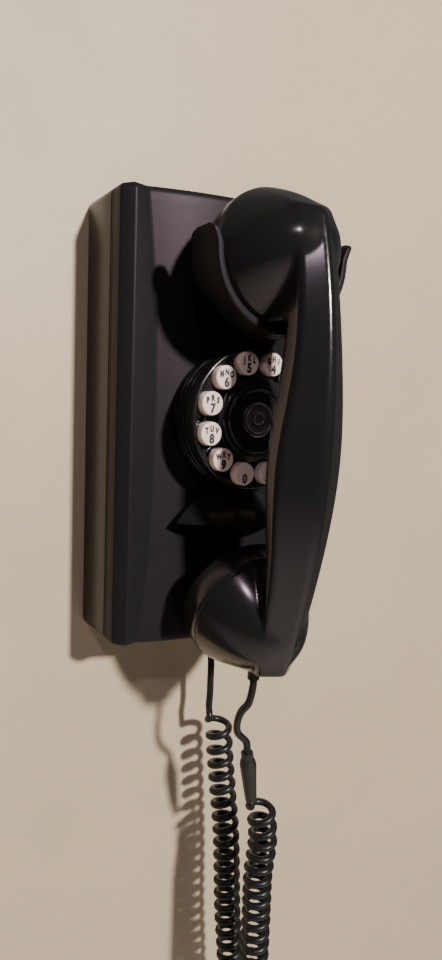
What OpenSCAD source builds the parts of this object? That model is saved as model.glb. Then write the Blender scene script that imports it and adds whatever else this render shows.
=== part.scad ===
// Corded wall telephone with a round push-button dial, a handset in a forked
// cradle and a curly cord that hangs in a loop below the case.
// Z is up, +X is to the viewer's right, the front faces -Y and the wall is y = 0.

/* [Case] */
// Width of the case
body_w = 125; // [116:1:150]
// Height of the case
body_h = 228; // [222:1:236]
// Depth of the rear housing, from the wall to the parting seam
seam_d = 31; // [28:0.5:32]
// Depth of the front corners of the cover
corner_d = 42.5; // [42:0.5:44]
// Depth of the crest of the side pillars
crest_d = 47; // [46.5:0.25:48.5]
// Depth of the crown of the curved front panel
crown_d = 50; // [49.5:0.25:50.5]
// Wall thickness of the two shells
wall = 2.5; // [2:0.1:3]
// Radius of the vertical outer corners of the case
case_r = 3; // [2.6:0.1:5]
// Radius along the top and bottom front edges
edge_r = 4; // [3:0.5:5]

/* [Pillars] */
// Distance of the pillar crest from the side of the case
crest_in = 6.5; // [5:0.5:8]
// Half width of the front panel at mid height
waist = 42; // [40:0.5:44]
// Half width of the front panel at the top and bottom
panel_half = 48; // [46:0.5:50]
// Fall of the front panel from its crown to its widest edge
panel_fall = 5.5; // [5:0.25:6]

/* [Dial] */
// Height of the dial centre above the middle of the case
dial_z = 3.6; // [2:0.2:4]
// Radius of the dial drum
dial_r = 35; // [34.8:0.1:35.4]
// Depth of the front face of the dial
dial_d = 70; // [69:0.5:72]
// Radius of the circle of key centres
key_ring = 27.6; // [27.5:0.1:27.7]
// Diameter of a key
key_dia = 11.4; // [10.8:0.1:11.4]
// How far a key stands out of the dial
key_out = 4.5; // [4:0.25:5]
// Travel of a key
key_travel = 1.5; // [1.2:0.1:1.5]
// Gap between a key and its hole
key_gap = 0.3; // [0.25:0.05:0.3]
// Radius of the raised hub
hub_r = 21.4; // [20:0.2:21.6]
// Radius of the round badge plate on the hub
badge_r = 8.9; // [8:0.1:11]

/* [Cradle] */
// Height of the ear cap centre above the middle of the case
ear_z = 79.2; // [78.5:0.1:81]
// Depth of the ear cap seam at its centre
ear_d = 82.9; // [82:0.1:84]
// Gap between the ear cap and the cradle
cradle_gap = 0.5; // [0.4:0.05:0.8]
// Thickness of the cradle fork
fork_t = 3.2; // [3:0.1:3.6]
// Height of the fork tips above the ear cap centre
fork_up = 9.5; // [7:0.5:10]
// How far the fork tips lean outwards
fork_flare = 3.5; // [2:0.25:4]
// Depth of the front rim of the fork
fork_front = 89.5; // [88:0.25:90]
// Depth of the rear edge of the fork arms
fork_back = 66; // [64:0.5:69]
// Depth of the rear edge of the fork bottom
fork_web = 73; // [72:0.5:75]
// Width of the lever behind the fork
lever_w = 16; // [12:0.5:18]
// Thickness of the lever
lever_t = 4.6; // [4:0.1:5]
// Depth of the hinge pin
pin_d = 22; // [20:0.5:24]
// Diameter of the hinge pin
pin_dia = 4; // [3:0.1:4.4]
// Running gap round the hinge pin, on the radius
pin_gap = 0.05; // [0.03:0.01:0.1]

/* [Handset] */
// Radius of the two cups of the handset
cup_r = 32.3; // [31.5:0.1:32.6]
// Height of the cups in front of their seams
cup_h = 33; // [31:0.5:35]
// Height of the mouth cap seam centre below the middle of the case
mouth_z = 93.4; // [93:0.1:94.2]
// Depth of the mouth cap seam at its centre
mouth_d = 75; // [74.8:0.1:77]
// Lean of the ear cup from the wall
ear_lean = 7.6; // [6:0.2:9]
// Lean of the mouth cup from the wall
mouth_lean = 24; // [22:0.5:25]
// Height of the ear cap
ear_cap_h = 12.5; // [11:0.5:14]
// Height of the mouth cap
mouth_cap_h = 15; // [13.5:0.5:15]
// Radius of the curve of the handle's ridge
ridge_r = 280; // [270:5:300]
// Greatest depth of the handle's ridge
ridge_d = 127.4; // [126:0.2:130]
// Thickness of the handle from ridge to back
grip_t = 23; // [20:0.5:25]
// Half width of the handle at its middle
grip_half = 18.2; // [16:0.2:19]
// Half width of the handle at its ends
grip_end = 14; // [12:0.5:15]

/* [Cord] */
// Diameter of the cord
cord_dia = 4; // [3.4:0.1:4]
// Outer diameter of the curls
curl_dia = 16.5; // [14:0.5:17]
// Diameter of the joiner sleeve
joiner_dia = 9; // [8:0.5:10]
// Length of the joiner sleeve
joiner_len = 28; // [27:0.5:28.5]

/* [Wall mounting] */
// Distance between the two keyholes
key_spacing = 100; // [98:1:104]
// Radius of the round end of a keyhole
keyhole_r = 4.5; // [4:0.1:5]
// Width of the slot of a keyhole
keyslot_w = 4.6; // [4:0.2:5]

/* [Hidden] */
$fn = 64;
eps = 0.01;
seat = 0.1;
half_w = body_w / 2;
half_h = body_h / 2;
seam_gap = 0.4;
cover_d = seam_d + seam_gap;
KEYS = ["key_2", "key_3", "key_4", "key_5", "key_6", "key_7",
        "key_8", "key_9", "key_0", "key_hash", "key_star", "key_1"];

BLACK = [0.07, 0.07, 0.08];
CREAM = [0.93, 0.89, 0.82];
METAL = [0.72, 0.72, 0.74];
BOARD = [0.12, 0.38, 0.2];
RUBBER = [0.16, 0.16, 0.17];

// ---------- small helpers ----------
// Sweeps a front-view outline from one depth to a greater one
module sweep_out(d0, d1) {
    translate([0, -d0, 0])
        rotate([90, 0, 0])
            linear_extrude(d1 - d0)
                children();
}

module peg(d0, d1, r, x = 0, z = 0) {
    translate([x, -d0, z])
        rotate([90, 0, 0])
            cylinder(h = d1 - d0, r = r);
}

module rounded(w, h, r) {
    square([w - 2 * r, h], center = true);
    square([w, h - 2 * r], center = true);
    for (sx = [-1, 1])
        for (sz = [-1, 1])
            translate([sx * (w / 2 - r), sz * (h / 2 - r)])
                circle(r);
}

// ---------- case shells ----------
screw_x = half_w - 12;
screw_z = half_h - 14;
screw_r = 1.5;
head_r = 3.25;
head_t = 2;
screw_l = 22;
boss_r = 4;
pad_d = 5;
boss_gap = 0.3;
plate_fit = 0.15;
ledge = 2;
module at_screws() {
    for (sx = [-1, 1])
        for (sz = [-1, 1])
            translate([sx * screw_x, 0, sz * screw_z])
                children();
}

// The panel between the pillars is part of a large upright cylinder
panel_r = (panel_half * panel_half + panel_fall * panel_fall) / (2 * panel_fall);
function panel_depth(x) = crown_d - panel_r + sqrt(panel_r * panel_r - x * x);
// The pillar flanks are cones so large that they bow the panel's edges
bow_r = half_h * half_h / (2 * (panel_half - waist));
flank_run = 7;
foot_d = panel_depth(panel_half);
crest_x = half_w - crest_in;

// Plan outline of the cover from the side wall to the crest, set in by i
function plan_side(i) = [
    [half_w - i, -cover_d + (i > 0 ? 1 : 0)],
    [half_w - i, -(corner_d - 1.6) + i * 0.4],
    [half_w - 0.35 - i, -(corner_d - 0.7) + i * 0.6],
    [half_w - 1.1 - i, -corner_d + i * 0.8],
    [crest_x + 1.4 - i * 0.5, -(crest_d - 0.5) + i],
    [crest_x, -crest_d + i],
    [crest_x - 1.6, -crest_d + i]];
function mirrored(pts) = [for (k = [len(pts) - 1:-1:0]) [-pts[k][0], pts[k][1]]];

module cover_form(i) {
    top = half_h - i;
    front = crown_d + 5;
    r = edge_r;
    intersection() {
        union() {
            difference() {
                linear_extrude(body_h, center = true)
                    polygon(concat(plan_side(i), mirrored(plan_side(i))));
                difference() {
                    sweep_out(foot_d - i, front)
                        square([body_w - 2 * crest_in, body_h + 2], center = true);
                    for (s = [-1, 1])
                        translate([s * (waist + bow_r + (foot_d - panel_depth(waist)) * 2), -(foot_d - i - 1), 0])
                            rotate([90, 0, 0])
                                cylinder(h = 6, r1 = bow_r + flank_run / 3, r2 = bow_r - flank_run * 5 / 3,
                                         $fn = 360);
                }
            }
            intersection() {
                translate([0, -(crown_d - panel_r), 0])
                    cylinder(h = body_h, r = panel_r - i, center = true, $fn = 180);
                translate([-panel_half, -front, -half_h])
                    cube([2 * panel_half, front - cover_d + (i > 0 ? 1 : 0), body_h]);
            }
        }
        // side view, with rounded top and bottom front edges
        rotate([90, 0, 90])
            linear_extrude(body_w, center = true)
                polygon(concat([[0, -top]],
                    [for (a = [0:15:90]) [-crown_d + i + r * (1 - sin(a)), -top + r * (1 - cos(a))]],
                    [for (a = [90:-15:0]) [-crown_d + i + r * (1 - sin(a)), top - r * (1 - cos(a))]],
                    [[0, top]]));
    }
}

lip_h = 2.4;
lip_t = 2.2;
cap_more = 0.4;
fork_in = cup_r + cap_more + cradle_gap;
fork_out = fork_in + fork_t;
lever_lo = ear_z - fork_out - 0.4;
tail_l = 11;
tail_t = 2.8;
slot_w = lever_w + 3;
slot_lo = lever_lo - 1.2;
slot_hi = slot_lo + lever_t + 6.4;
dial_hole = dial_r - 0.6 + seat;
ear_w = 4;
ear_x = lever_w / 2 + 1;
pin_z = lever_lo + lever_t / 2;
bridge_z = pin_z + 10.4;

module front_cover() {
    color(BLACK)
    difference() {
        union() {
            difference() {
                cover_form(0);
                cover_form(wall);
            }
            // screw bosses
            intersection() {
                at_screws()
                    peg(pad_d + boss_gap, crest_d, boss_r);
                union() {
                    cover_form(0);
                    sweep_out(pad_d, cover_d + 1)
                        square([body_w - 4 * wall, body_h - 4 * wall], center = true);
                }
            }
            // ears that carry the hinge pin
            for (s = [-1, 1])
                translate([s * ear_x - (s < 0 ? ear_w : 0), -(crown_d - wall), pin_z - 5])
                    cube([ear_w, crown_d - wall - pin_d + 7, bridge_z - pin_z + 7]);
            // bridge between the ears, over the spring
            translate([-ear_x - 1, -pin_d, bridge_z])
                cube([2 * ear_x + 2, tail_l + 1, 2]);
            // lip that locates the rear housing
            for (lip = [[cover_d - lip_h, seat], [cover_d + 0.6, -0.2]])
                sweep_out(lip[0], cover_d + 2)
                    difference() {
                        rounded(body_w - 2 * wall - 2 * lip[1], body_h - 2 * wall - 2 * lip[1], 1);
                        rounded(body_w - 2 * wall - 2 * lip_t, body_h - 2 * wall - 2 * lip_t, 1);
                    }
        }
        peg(cover_d, dial_d, dial_hole, 0, dial_z);
        translate([-slot_w / 2, -dial_d, slot_lo])
            cube([slot_w, dial_d - cover_d, slot_hi - slot_lo]);
        translate([0, -pin_d, pin_z])
            rotate([0, 90, 0])
                cylinder(h = 2 * (ear_x + ear_w) + 2, r = pin_dia / 2 + pin_gap / 2, center = true);
        at_screws()
            peg(pad_d, pad_d + screw_l + 2, screw_r + 0.03);
        // corners of the case, seen from the front
        sweep_out(cover_d - 3, dial_d)
            difference() {
                square([body_w + 2, body_h + 2], center = true);
                rounded(body_w, body_h, case_r);
            }
    }
}

grommet_x = 8;
grommet_d = 24;
grommet_r = 3.9;
grommet_out = 2;
jack_x = -34;
jack_w = 11.8;
jack_h = 7;
jack_wall = 1.6;
jack_d = 9;
jack_deep = 11;

module rear_housing() {
    color(BLACK)
    difference() {
        union() {
            sweep_out(0, seam_d)
                difference() {
                    rounded(body_w, body_h, case_r);
                    rounded(body_w - 2 * wall, body_h - 2 * wall, 1);
                }
            // ledge behind which the back plate sits
            sweep_out(wall + eps, wall + 2)
                difference() {
                    rounded(body_w - wall, body_h - wall, 1);
                    rounded(body_w - 2 * wall - 2 * ledge, body_h - 2 * wall - 2 * ledge, 1);
                }
        }
        translate([grommet_x, -grommet_d, -half_h])
            cylinder(h = 4 * wall, r = grommet_r + seat, center = true);
        translate([jack_x, -jack_d - jack_h / 2, -half_h])
            cube([jack_w + 2 * jack_wall + 2 * seat, jack_h + 2 * jack_wall + 2 * seat, 4 * wall],
                 center = true);
    }
}

standoff_r = 3;
board_d = 10;
board_t = 1.6;
board_w = 84;
board_h = 44;
board_z = -(half_h - 36);
part_t = 7;
ringer_r = 20;
ringer_t = 9;
ringer_dome = 5;
ringer_x = -34;
ringer_z = half_h - 42;
switch_w = 20;
switch_d = 9;
switch_z = 34.4;
switch_h = 7;

module keyhole() {
    circle(keyhole_r);
    translate([-keyslot_w / 2, 0])
        square([keyslot_w, keyhole_r + 6]);
    translate([0, keyhole_r + 6])
        circle(keyslot_w / 2);
}

module back_plate() {
    color(RUBBER)
    difference() {
        union() {
            sweep_out(0, wall)
                rounded(body_w - 2 * wall - 2 * plate_fit, body_h - 2 * wall - 2 * plate_fit, 1);
            at_screws()
                peg(wall - eps, pad_d, boss_r + 1.5);
            for (sx = [-1, 1])
                for (sz = [-1, 1])
                    peg(wall - eps, board_d, standoff_r,
                        sx * (board_w / 2 - 5), board_z + sz * (board_h / 2 - 5));
            // rib ring that holds the ringer
            sweep_out(wall - eps, wall + ringer_t * 2 / 3)
                translate([ringer_x, ringer_z])
                    difference() {
                        circle(ringer_r + 2);
                        circle(ringer_r + seat);
                    }
            // shelf that carries the hook switch
            translate([-switch_w / 2 - 2, -(wall + switch_d + 2), switch_z - 3])
                cube([switch_w + 4, switch_d + 2 + eps, 3]);
        }
        for (sz = [-1, 1])
            sweep_out(-1, pad_d + 1)
                translate([0, sz * key_spacing / 2])
                    keyhole();
        at_screws()
            peg(-1, head_t + 0.6, head_r + 0.2);
        at_screws()
            peg(0, pad_d + 1, screw_r + 0.2);
    }
}

module cover_screws() {
    color(METAL)
    at_screws() {
        difference() {
            peg(0.6, head_t + 0.6, head_r);
            translate([-head_r, -1.2, -0.4])
                cube([2 * head_r, 1.2, 0.8]);
        }
        peg(head_t + 0.6 - eps, pad_d + screw_l, screw_r);
    }
}

module main_board() {
    color(BOARD)
    union() {
        sweep_out(board_d, board_d + board_t)
            translate([0, board_z])
                square([board_w, board_h], center = true);
        translate([-board_w * 0.29, -(board_d + board_t + part_t), board_z - part_t])
            cube([part_t * 2.6, part_t + eps, part_t * 2]);
        translate([part_t, -(board_d + board_t + part_t * 0.4), board_z - part_t * 1.7])
            cube([part_t * 2, part_t * 0.4 + eps, part_t * 2]);
        peg(board_d + board_t - eps, board_d + board_t + part_t * 1.6, part_t * 0.57,
            board_w * 0.38, board_z + part_t);
    }
}

module ringer() {
    color(METAL)
    difference() {
        union() {
            peg(wall, wall + ringer_t, ringer_r, ringer_x, ringer_z);
            peg(wall + ringer_t - eps, wall + ringer_t + ringer_dome,
                ringer_r * 0.55, ringer_x, ringer_z);
        }
        peg(wall + ringer_t + ringer_dome * 0.7, wall + ringer_t + ringer_dome + 1,
            ringer_r * 0.4, ringer_x, ringer_z);
    }
}

module hook_switch() {
    color(BLACK)
    union() {
        translate([-switch_w / 2, -(wall + switch_d), switch_z])
            cube([switch_w, switch_d - 0.5, switch_h]);
        translate([-2, -(wall + switch_d - 1.5), switch_z + switch_h - eps])
            cube([4, 2.5, 1.2]);
    }
}

// ---------- dial ----------
ring_front = dial_d - 13;
ring_back = crown_d - 6;
drum_wall = 1.2;
face_t = 3;
key_r = key_dia / 2;
flange_t = 1.4;
tab_out = 1;
tab_gap = 0.3;
plunger_back = dial_d - face_t - flange_t - tab_gap - 2;
dome_top = plunger_back - key_travel - 0.3;
membrane_t = 1.2;
step_cut = 0.8;

// Ring of 12 places, an even 30 degrees apart, that starts at the upper right
module at_keys() {
    for (k = [0:11])
        at_key(k)
            children();
}
module at_key(k) {
    a = 15 + 30 * k;
    translate([key_ring * cos(a), 0, dial_z + key_ring * sin(a)])
        children();
}

module dial_ring() {
    color(BLACK)
    difference() {
        union() {
            peg(ring_back, ring_front, dial_r - 0.6, 0, dial_z);
            peg(ring_front - 4.8, ring_front - 2.2, dial_r - 0.1, 0, dial_z);
        }
        peg(ring_back - 1, ring_front + 1, dial_r - 4, 0, dial_z);
    }
}

module dial_face() {
    inner = dial_r - drum_wall;
    color(BLACK)
    difference() {
        union() {
            peg(ring_front, dial_d - 0.8, dial_r, 0, dial_z);
            translate([0, -(dial_d - 0.8 - eps), dial_z])
                rotate([90, 0, 0])
                    cylinder(h = 0.8 + eps, r1 = dial_r, r2 = dial_r - 0.8);
        }
        peg(ring_front - 1, dial_d - face_t, inner, 0, dial_z);
        // the face is dished a little inside its rim
        peg(dial_d - 0.5, dial_d + 1, dial_r - 1.1, 0, dial_z);
        // groove round the drum
        sweep_out(ring_front + 2.4, ring_front + 3.2)
            translate([0, dial_z])
                difference() {
                    circle(dial_r + 1);
                    circle(dial_r - 0.7);
                }
        at_keys()
            peg(dial_d - face_t - 1, dial_d + 1, key_r + key_gap);
    }
}

// Stepped rings of the hub: radius and depth over the dial's face
HUB_STEPS = [[0, 1.6], [2.4, 3], [5, 4.2], [7.4, 3.4]];
face_d = dial_d - 0.5;
module dial_hub() {
    color(BLACK)
    difference() {
        union() {
            for (s = HUB_STEPS)
                peg(face_d, face_d + s[1], hub_r - s[0], 0, dial_z);
        }
        // sunk middle that holds the badge
        peg(face_d + 3.4, dial_d + 8, hub_r - 7.4, 0, dial_z);
        peg(face_d + 2.4, dial_d + 8, badge_r + seat, 0, dial_z);
    }
}

module hub_badge() {
    color(METAL)
    difference() {
        peg(face_d + 2.4, face_d + 4, badge_r, 0, dial_z);
        // plain turned groove
        sweep_out(face_d + 3.6, dial_d + 8)
            translate([0, dial_z])
                difference() {
                    circle(badge_r - 1.2);
                    circle(badge_r - 2);
                }
    }
}

module keypad_board() {
    color(BOARD)
    difference() {
        peg(ring_front + eps, ring_front + board_t, dial_r - drum_wall - 0.2, 0, dial_z);
        peg(ring_front - 1, ring_front + 3, 4, 0, dial_z);
    }
}

module keypad_membrane() {
    base = ring_front + board_t;
    color(RUBBER)
    union() {
        difference() {
            peg(base, base + membrane_t, dial_r - drum_wall - 0.4, 0, dial_z);
            peg(base - 1, base + 3, 10, 0, dial_z);
        }
        at_keys()
            translate([0, -(base + membrane_t - eps), 0])
                rotate([90, 0, 0])
                    cylinder(h = dome_top - base - membrane_t, r1 = 4.4, r2 = 3);
    }
}

module key_at(k) {
    base = dial_d - face_t - flange_t - tab_gap;
    top = dial_d + key_out;
    color(CREAM)
    at_key(k) {
        rotate([90, 0, 0])
            rotate_extrude()
                polygon(concat([[0, plunger_back], [2.4, plunger_back], [2.4, base], [key_r, base]],
                    [for (a = [0:15:90]) [key_r - 1 + cos(a), top - 1 + sin(a)]], [[0, top]]));
        // two stop tabs behind the face
        rotate([0, -15 - 30 * k, 0])
            translate([-1.5, -base - flange_t, -key_r - tab_out])
                cube([3, flange_t - 0.3, 2 * (key_r + tab_out)]);
    }
}

// ---------- cradle ----------

// Front view of the fork: a half ring whose arms lean outwards
module fork_outline() {
    difference() {
        union() {
            difference() {
                circle(fork_out, $fn = 96);
                translate([-60, 0])
                    square([120, 60]);
            }
            for (s = [-1, 1])
                polygon([[s * (fork_in - 1), -3], [s * (fork_out - 0.4), -3],
                         [s * (fork_out + 0.3), 0.5],
                         [s * (fork_out + fork_flare), fork_up - 1.4],
                         [s * (fork_out + fork_flare - 1.1), fork_up],
                         [s * (fork_in + fork_flare + 0.9), fork_up],
                         [s * (fork_in + fork_flare), fork_up - 0.9],
                         [s * (fork_in + 0.2), 0.5]]);
        }
        circle(fork_in, $fn = 96);
    }
}
// Room for the ear cap, which leans with the handset
module ear_room() {
    on_ear()
        translate([0, 0, -ear_cap_h - 0.8])
            cylinder(h = 60, r = fork_in, $fn = 96);
}

module cradle() {
    tip_r = 9;
    color(BLACK)
    difference() {
        union() {
            intersection() {
                sweep_out(fork_back, fork_front)
                    translate([0, ear_z])
                        fork_outline();
                // side view: rounded tips, cut back to the web below
                rotate([90, 0, 90])
                    linear_extrude(120, center = true)
                        polygon(concat(
                            [[-fork_front - 1, lever_lo - 2], [-fork_web, lever_lo - 2],
                             [-fork_web, ear_z - 22], [-fork_back, ear_z - 12]],
                            [for (a = [0:15:90])
                                [-fork_back - tip_r * (1 - cos(a)),
                                 ear_z + fork_up + 0.5 - tip_r * (1 - sin(a))]],
                            [[-fork_front + 3, ear_z + fork_up + 0.5],
                             [-fork_front - 1, ear_z + fork_up - 2.8]]));
            }
            // lever from the fork through the cover to the hinge
            translate([-lever_w / 2, -(fork_front - 5), lever_lo])
                cube([lever_w, fork_front - 5 - pin_d, lever_t]);
            translate([0, -pin_d, pin_z])
                rotate([0, 90, 0])
                    cylinder(h = lever_w, r = pin_dia / 2 + 2.2, center = true);
            // tail that works the switch
            translate([-4, -pin_d, pin_z - tail_t / 2])
                cube([8, tail_l, tail_t]);
        }
        ear_room();
        translate([0, -pin_d, pin_z])
            rotate([0, 90, 0])
                cylinder(h = lever_w + 2, r = pin_dia / 2 + pin_gap, center = true);
    }
}

module cradle_pin() {
    color(METAL)
    translate([0, -pin_d, pin_z])
        rotate([0, 90, 0])
            cylinder(h = 2 * (ear_x + ear_w) + 1, r = pin_dia / 2, center = true);
}

// Close coils of a small spring between the tail and the bridge over it
module cradle_spring() {
    wire = 0.45;
    turns = 7;
    low = pin_z + tail_t / 2 + wire;
    rise = (bridge_z - pin_z - tail_t / 2 - 2 * wire) / turns;
    color(METAL)
    translate([0, -pin_d + tail_l - 3.6, low])
        rotate_extrude($fn = 32)
            union() {
                for (k = [0:turns])
                    translate([2.2, k * rise])
                        circle(wire, $fn = 16);
                translate([2.2 - wire / 2, 0])
                    square([wire, turns * rise]);
            }
}

// ---------- line jack and grommets ----------
module line_jack() {
    w = jack_w + 2 * jack_wall;
    h = jack_h + 2 * jack_wall;
    color(RUBBER)
    translate([jack_x, -jack_d - jack_h / 2, -half_h + 0.3])
        difference() {
            union() {
                translate([-w / 2, -h / 2, 0])
                    cube([w, h, jack_deep + 2]);
                translate([-w / 2 - 2, -h / 2 + 0.5, wall])
                    cube([w + 4, h - 1, 1.5]);
            }
            translate([-jack_w / 2, -jack_h / 2, -1])
                cube([jack_w, jack_h, jack_deep + 1]);
        }
}

module body_grommet() {
    color(RUBBER)
    translate([grommet_x, -grommet_d, -half_h])
        difference() {
            union() {
                translate([0, 0, -grommet_out])
                    cylinder(h = grommet_out, r1 = grommet_r - 0.6, r2 = grommet_r + 1.2);
                cylinder(h = wall, r = grommet_r);
                translate([0, 0, wall])
                    cylinder(h = 1.5, r = grommet_r + 0.8);
            }
            translate([0, 0, -1])
                cylinder(h = 10, r = cord_dia / 2 - 0.5);
        }
}

// ---------- handset ----------
cup_bore = 27;
cup_deep = 6;
neck_gap = 0.2;
capsule_r = 24.3;
receiver_t = 9.5;
mic_t = 12;
handle_top = ear_z + 39;
handle_foot = mouth_z + 37;
lead_d = 78.6;

module on_ear() {
    translate([0, -ear_d, ear_z])
        rotate([90 - ear_lean, 0, 0])
            children();
}
module on_mouth() {
    translate([0, -mouth_d, -mouth_z])
        rotate([90 + mouth_lean, 0, 0])
            children();
}

// Bell-shaped cup: its radius falls as the root of the height left to its top
module cup() {
    rotate_extrude($fn = 96)
        polygon(concat([[0, 0]],
            [for (k = [0:16])
                let (u = 1 - pow(1 - k / 16, 2)) [cup_r * sqrt(1 - u), cup_h * u]]));
}

// Section of the handle: a rounded ridge in front and a flat back
function grip_section() = concat(
    [[ridge_r - grip_t, -grip_half + 2.5], [ridge_r - grip_t + 2, -grip_half]],
    [for (a = [-54:18:54]) [ridge_r - 4.5 + 4.5 * cos(a), 4.5 * sin(a)]],
    [[ridge_r - grip_t + 2, grip_half], [ridge_r - grip_t, grip_half - 2.5]]);
// Half width of the handle in the front view
function grip_plan(z) = grip_end + (grip_half - grip_end) * cos(90 * min(1, abs(z + 12) / 70));

// Point k of 31 up one side of the handle
function side_point(k, side) =
    let (z = handle_top - (1 - k / 31) * (handle_top + handle_foot)) [side * grip_plan(z), z];

ridge_mid = 8;
module handle() {
    intersection() {
        translate([0, ridge_r - ridge_d, ridge_mid])
            rotate([0, 90, 0])
                rotate([0, 0, -117])
                    rotate_extrude(angle = 60, $fn = 240)
                        polygon(grip_section());
        sweep_out(ear_d - 5, ridge_d + 5)
            polygon(concat([for (k = [0:31]) side_point(k, 1)], [for (k = [31:-1:0]) side_point(k, -1)]));
        // side view of the ends, flush with the tops of the cups
        rotate([90, 0, 90])
            linear_extrude(60, center = true)
                polygon([[-ridge_d - 5, 86.9], [-ridge_d - 5, -111.5], [-60, -123.3], [0, -128],
                         [0, -50], [0, 70], [-60, 119.8]]);
    }
}

module handset_body() {
    color(BLACK)
    difference() {
        union() {
            handle();
            on_ear()
                cup();
            on_mouth()
                cup();
        }
        on_ear()
            translate([0, 0, -60])
                cylinder(h = 60, r = 50);
        on_mouth()
            translate([0, 0, -60])
                cylinder(h = 60, r = 50);
        on_ear()
            translate([0, 0, -1])
                cylinder(h = cup_deep + 1, r = cup_bore);
        on_mouth()
            translate([0, 0, -1])
                cylinder(h = cup_deep + 1, r = cup_bore);
        translate([0, -lead_d, -mouth_z - cup_r - 3])
            cylinder(h = 7, r = 3 + seat / 2);
    }
}

// Screwed cap with a neck inside the cup and a dished face with sound holes
module cap(h, r_face, edge) {
    face_w = 2.4;
    difference() {
        union() {
            rotate_extrude($fn = 96)
                polygon(concat([[0, -h], [r_face, -h]],
                    [for (a = [-75:15:0])
                        [cup_r + cap_more - edge * (1 - cos(a)), -h + edge + edge * sin(a)]],
                    [[cup_r + cap_more, -3], [cup_r, -seat / 2], [0, -seat / 2]]));
            translate([0, 0, -1])
                cylinder(h = cup_deep, r = cup_bore - neck_gap);
        }
        translate([0, 0, -h + face_w + 1.6])
            cylinder(h = h + 10, r = capsule_r + neck_gap);
        // dished face
        translate([0, 0, -h - 80 + 1.6])
            sphere(r = 80, $fn = 180);
        for (k = [0:5])
            rotate([0, 0, 60 * k])
                translate([8, 0, -h - 1])
                    cylinder(h = 8, r = 1.6, $fn = 24);
        translate([0, 0, -h - 1])
            cylinder(h = 8, r = 1.6, $fn = 24);
    }
}

module ear_cap() {
    color(BLACK)
    on_ear()
        cap(ear_cap_h, 26, 4);
}
module mouth_cap() {
    color(BLACK)
    on_mouth()
        cap(mouth_cap_h, 27, 2);
}

module capsule(h, t) {
    difference() {
        union() {
            translate([0, 0, -h + 4])
                cylinder(h = t, r = capsule_r);
            translate([0, 0, -h + 4 + t - eps])
                cylinder(h = 3, r = capsule_r * 0.6);
        }
        translate([0, 0, -h + 4 + t + 1])
            cylinder(h = 4, r = capsule_r * 0.35);
    }
}
module receiver() {
    color(METAL)
    on_ear()
        capsule(ear_cap_h, receiver_t);
}
module microphone() {
    color(METAL)
    on_mouth()
        capsule(mouth_cap_h, mic_t);
}

exit_z = -mouth_z - cup_r - 1.2;
module handset_grommet() {
    color(RUBBER)
    translate([0, -lead_d, 0])
        union() {
            translate([0, 0, exit_z])
                cylinder(h = -mouth_z - cup_r - 3 + 7 - exit_z, r = 3);
        }
}

// ---------- cords ----------
// Routes of the plain stretches, from the exit to the curls or the joiner
BODY_LEAD = [[8, -24, -130], [8, -25, -140], [8, -25, -150], [8, -25, -158]];
HANDSET_LEAD = [[-1, -77, -140], [-2, -72, -147],
                [-2, -69, -154], [0, -67, -161]];
// The centre of the curls: down from the case, round the low bend and up again
DOWN_ARM = [[14, -25, -172], [16, -26, -197], [18, -28, -222], [20, -30, -247],
            [21, -31, -272], [22, -32, -297], [24, -33, -322], [25, -33, -347]];
UP_ARM = [[18, -67, -351], [18, -66, -330], [18, -66, -309], [18, -66, -288],
          [18, -66, -267], [18, -66, -247], [20, -66, -226], [17, -66, -204]];
low_bend = [22, -50, -372];
bend_r = 17;
bend_parts = 6;
curls_each = 3;
rings_each = 8;
wire_sides = 6;
curl_r = (curl_dia - cord_dia) / 2;

function unit(v) = v / norm(v);
function flat_dir(v, t) = unit(v - (v * t) * t);

// Tangent at point i of a list of points
function tangent(p, i) = unit(p[min(i + 1, len(p) - 1)] - p[max(i - 1, 0)]);

// Skins a tube of n sides along points p, with guide vectors g
module tube(p, r, n, g) {
    rings = [for (i = [0:len(p) - 1])
        let (t = tangent(p, i), a = flat_dir(g[i], t), b = cross(t, a))
        for (k = [0:n - 1])
            p[i] + r * (cos(360 * k / n) * a + sin(360 * k / n) * b)];
    last = (len(p) - 1) * n;
    sides = [for (i = [0:len(p) - 2])
        for (k = [0:n - 1])
            let (a = i * n + k, b = i * n + (k + 1) % n)
            each [[a, b + n, b], [a, a + n, b + n]]];
    ends = [for (k = [1:n - 2])
        each [[0, k, k + 1], [last, last + k + 1, last + k]]];
    polyhedron(points = rings, faces = concat(sides, ends));
}

// Catmull-Rom curve through the points of a route
function on_route(q, u) =
    let (n = len(q) - 1, i = min(floor(u), n - 1), t = u - i,
         a = q[max(i - 1, 0)], b = q[i], c = q[i + 1], d = q[min(i + 2, n)])
    0.5 * ((2 * b) + (c - a) * t + (2 * a - 5 * b + 4 * c - d) * t * t
           + (3 * b - a - 3 * c + d) * t * t * t);
function route_dir(q, u) =
    unit(on_route(q, min(u + 0.02, len(q) - 1)) - on_route(q, max(u - 0.02, 0)));
function ease(x) = x <= 0 ? 0 : x >= 1 ? 1 : x * x * (3 - 2 * x);

// Across the loop in which the cord hangs
loop_side = unit([1, 0.15, 0]);
bend_side = unit([0.15, 1, 0]);
curl_route = concat(DOWN_ARM,
    [for (k = [0:bend_parts]) low_bend + bend_r * (cos(180 * k / bend_parts) * bend_side
                                                   - [0, 0, sin(180 * k / bend_parts)])],
    UP_ARM);
// An arm has three curls in each stretch of the route, and the bend has one
curls_down = len(DOWN_ARM) * curls_each;
curls = curls_down + bend_parts + len(UP_ARM) * curls_each;
function place(c) = c < curls_down ? c / curls_each
    : c < curls_down + bend_parts ? c - curls_down + len(DOWN_ARM)
    : (c - curls_down - bend_parts) / curls_each + len(DOWN_ARM) + bend_parts;
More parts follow.
